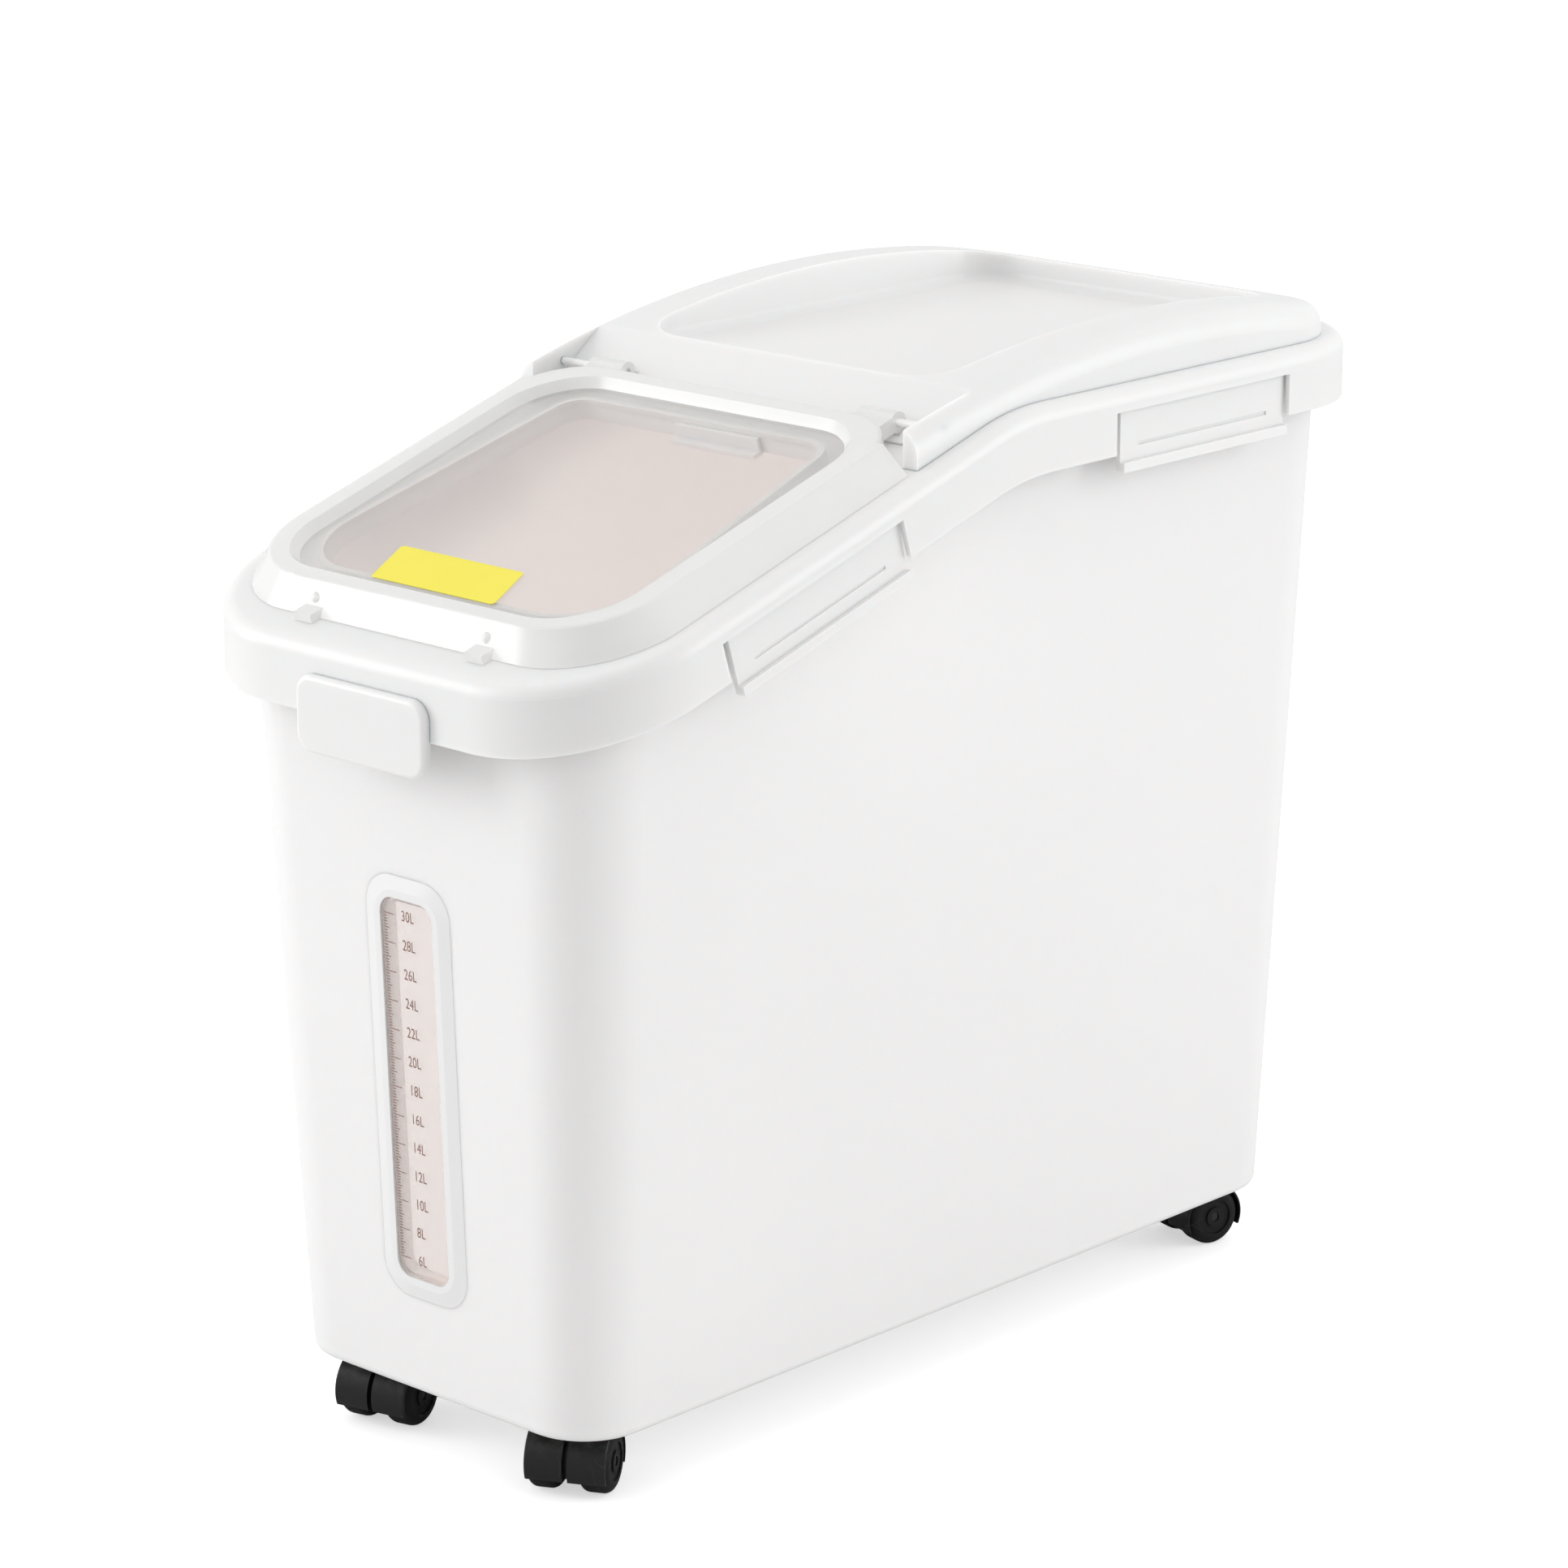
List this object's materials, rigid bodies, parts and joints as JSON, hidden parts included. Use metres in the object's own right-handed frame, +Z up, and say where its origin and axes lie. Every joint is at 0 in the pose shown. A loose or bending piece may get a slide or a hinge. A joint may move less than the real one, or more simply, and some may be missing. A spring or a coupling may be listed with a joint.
{
  "type": "rolling ingredient bin",
  "caption": "Tall narrow plastic ingredient bin on twin-wheel casters, with a sloping lid, a clear hinged scoop flap, a sunken tray on top, side clips and a graduated sight window.",
  "frame": {"origin": "middle of the footprint on the floor, under the wheels", "axes": "+Z up, front faces -Y (the sloping flap), +X to the right seen from the front"},
  "size_m": [0.299, 0.624, 0.5481],
  "materials": {
    "tub_plastic": "satin",
    "lid_plastic": "satin",
    "clear_plastic": "clear",
    "seal_rubber": "matte",
    "label_film": "satin",
    "steel": "brushed",
    "caster_plastic": "satin",
    "wheel_plastic": "satin"
  },
  "bodies": {
    "tub": {"tub": "tub_plastic", "window_frame": "tub_plastic", "window_pane": "clear_plastic", "window_gasket": "seal_rubber", "front_left_caster_plate": "caster_plastic", "front_left_caster_screws": "steel", "front_right_caster_plate": "caster_plastic", "front_right_caster_screws": "steel", "back_left_caster_plate": "caster_plastic", "back_left_caster_screws": "steel", "back_right_caster_plate": "caster_plastic", "back_right_caster_screws": "steel"},
    "lid": {"lid_frame": "lid_plastic", "rear_cover": "lid_plastic", "front_pull": "lid_plastic", "hinge_pin_left": "lid_plastic", "hinge_pin_right": "lid_plastic", "mouth_seal": "seal_rubber", "scoop_hook": "lid_plastic"},
    "flap": {"flap": "clear_plastic", "blank_label": "label_film"},
    "front_left_clip": {"front_left_clip": "lid_plastic"},
    "front_right_clip": {"front_right_clip": "lid_plastic"},
    "rear_left_clip": {"rear_left_clip": "lid_plastic"},
    "rear_right_clip": {"rear_right_clip": "lid_plastic"},
    "front_left_swivel": {"front_left_caster_hood": "caster_plastic", "front_left_caster_stem": "steel", "front_left_caster_axle": "steel"},
    "front_left_left_wheel": {"front_left_caster_left_wheel": "wheel_plastic"},
    "front_left_right_wheel": {"front_left_caster_right_wheel": "wheel_plastic"},
    "front_right_swivel": {"front_right_caster_hood": "caster_plastic", "front_right_caster_stem": "steel", "front_right_caster_axle": "steel"},
    "front_right_left_wheel": {"front_right_caster_left_wheel": "wheel_plastic"},
    "front_right_right_wheel": {"front_right_caster_right_wheel": "wheel_plastic"},
    "back_left_swivel": {"back_left_caster_hood": "caster_plastic", "back_left_caster_stem": "steel", "back_left_caster_axle": "steel"},
    "back_left_left_wheel": {"back_left_caster_left_wheel": "wheel_plastic"},
    "back_left_right_wheel": {"back_left_caster_right_wheel": "wheel_plastic"},
    "back_right_swivel": {"back_right_caster_hood": "caster_plastic", "back_right_caster_stem": "steel", "back_right_caster_axle": "steel"},
    "back_right_left_wheel": {"back_right_caster_left_wheel": "wheel_plastic"},
    "back_right_right_wheel": {"back_right_caster_right_wheel": "wheel_plastic"}
  },
  "joints": [
    {"name": "lid_lift", "type": "slide", "parent": "tub", "child": "lid", "axis": [0, 0, 1], "range_m": [0, 0.15]},
    {"name": "flap_hinge", "type": "hinge", "parent": "lid", "child": "flap", "pos_m": [0, -0.04362, 0.51616], "axis": [-1, 0, 0], "range_deg": [0, 120]},
    {"name": "front_left_clip_hinge", "type": "hinge", "parent": "lid", "child": "front_left_clip", "pos_m": [-0.1444, -0.15176, 0.46114], "axis": [0, 0.9563, 0.2924], "range_deg": [0, 20]},
    {"name": "front_right_clip_hinge", "type": "hinge", "parent": "lid", "child": "front_right_clip", "pos_m": [0.1444, -0.15176, 0.46114], "axis": [0, -0.9563, -0.2924], "range_deg": [0, 20]},
    {"name": "rear_left_clip_hinge", "type": "hinge", "parent": "lid", "child": "rear_left_clip", "pos_m": [-0.1444, 0.142, 0.509], "axis": [0, 1, 0], "range_deg": [0, 20]},
    {"name": "rear_right_clip_hinge", "type": "hinge", "parent": "lid", "child": "rear_right_clip", "pos_m": [0.1444, 0.142, 0.509], "axis": [0, -1, 0], "range_deg": [0, 20]},
    {"name": "front_left_swivel_turn", "type": "hinge", "parent": "tub", "child": "front_left_swivel", "pos_m": [-0.066, -0.232, 0.038], "axis": [0, 0, 1], "continuous": true},
    {"name": "front_left_left_wheel_spin", "type": "hinge", "parent": "front_left_swivel", "child": "front_left_left_wheel", "pos_m": [-0.0762, -0.24691, 0.0165], "axis": [0.9703, 0.2419, 0], "continuous": true},
    {"name": "front_left_right_wheel_spin", "type": "hinge", "parent": "front_left_swivel", "child": "front_left_right_wheel", "pos_m": [-0.05, -0.24038, 0.0165], "axis": [0.9703, 0.2419, 0], "continuous": true},
    {"name": "front_right_swivel_turn", "type": "hinge", "parent": "tub", "child": "front_right_swivel", "pos_m": [0.066, -0.232, 0.038], "axis": [0, 0, 1], "continuous": true},
    {"name": "front_right_left_wheel_spin", "type": "hinge", "parent": "front_right_swivel", "child": "front_right_left_wheel", "pos_m": [0.05971, -0.24893, 0.0165], "axis": [0.8829, 0.4695, 0], "continuous": true},
    {"name": "front_right_right_wheel_spin", "type": "hinge", "parent": "front_right_swivel", "child": "front_right_right_wheel", "pos_m": [0.08355, -0.23626, 0.0165], "axis": [0.8829, 0.4695, 0], "continuous": true},
    {"name": "back_left_swivel_turn", "type": "hinge", "parent": "tub", "child": "back_left_swivel", "pos_m": [-0.066, 0.239, 0.038], "axis": [0, 0, 1], "continuous": true},
    {"name": "back_left_left_wheel_spin", "type": "hinge", "parent": "back_left_swivel", "child": "back_left_left_wheel", "pos_m": [-0.05884, 0.25558, 0.0165], "axis": [-0.9063, -0.4226, 0], "continuous": true},
    {"name": "back_left_right_wheel_spin", "type": "hinge", "parent": "back_left_swivel", "child": "back_left_right_wheel", "pos_m": [-0.08331, 0.24417, 0.0165], "axis": [-0.9063, -0.4226, 0], "continuous": true},
    {"name": "back_right_swivel_turn", "type": "hinge", "parent": "tub", "child": "back_right_swivel", "pos_m": [0.066, 0.239, 0.038], "axis": [0, 0, 1], "continuous": true},
    {"name": "back_right_left_wheel_spin", "type": "hinge", "parent": "back_right_swivel", "child": "back_right_left_wheel", "pos_m": [0.08215, 0.2471, 0.0165], "axis": [-0.9659, 0.2588, 0], "continuous": true},
    {"name": "back_right_right_wheel_spin", "type": "hinge", "parent": "back_right_swivel", "child": "back_right_right_wheel", "pos_m": [0.05607, 0.25409, 0.0165], "axis": [-0.9659, 0.2588, 0], "continuous": true}
  ]
}
